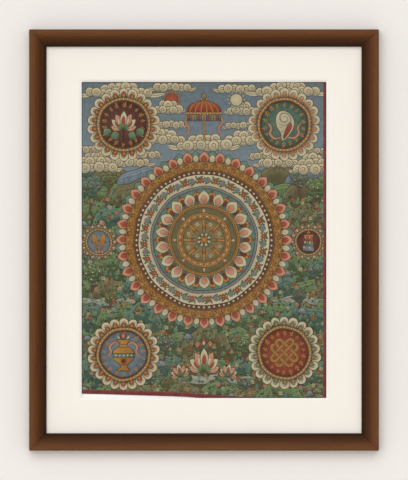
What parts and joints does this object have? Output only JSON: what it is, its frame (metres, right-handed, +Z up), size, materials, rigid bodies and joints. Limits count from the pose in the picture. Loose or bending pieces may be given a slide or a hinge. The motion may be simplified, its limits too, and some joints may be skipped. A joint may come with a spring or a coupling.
{
  "type": "thangka painting in a wooden picture frame",
  "caption": "Painted cotton cloth with a red edge strip, held behind a bevelled window mat on a backing board in a mitred wooden frame that hangs on a wall.",
  "frame": {"origin": "middle of the top rail's back face, on the wall plane, where the frame hangs", "axes": "+X to the right as the picture is looked at, +Y into the wall, so that the picture faces -Y, +Z up"},
  "size_m": [0.508, 0.024, 0.612],
  "materials": {
    "stained_wood": "brown stain under a satin lacquer, darker towards the inner edge",
    "cream_board": "matt cream cotton board with a white core at the bevel",
    "painted_cotton": "primed cotton with matt mineral paint in blue, green, gold, cream and red",
    "red_cotton": "matt plain-woven cotton dyed dark red",
    "white_board": "matt white mount board"
  },
  "bodies": {
    "root": {"frame_top": "stained_wood", "frame_bottom": "stained_wood", "frame_left": "stained_wood", "frame_right": "stained_wood", "window_mat": "cream_board", "painted_cloth": "painted_cotton", "edge_strip_bottom": "red_cotton", "edge_strip_right": "red_cotton", "backing_board": "white_board"}
  },
  "joints": []
}
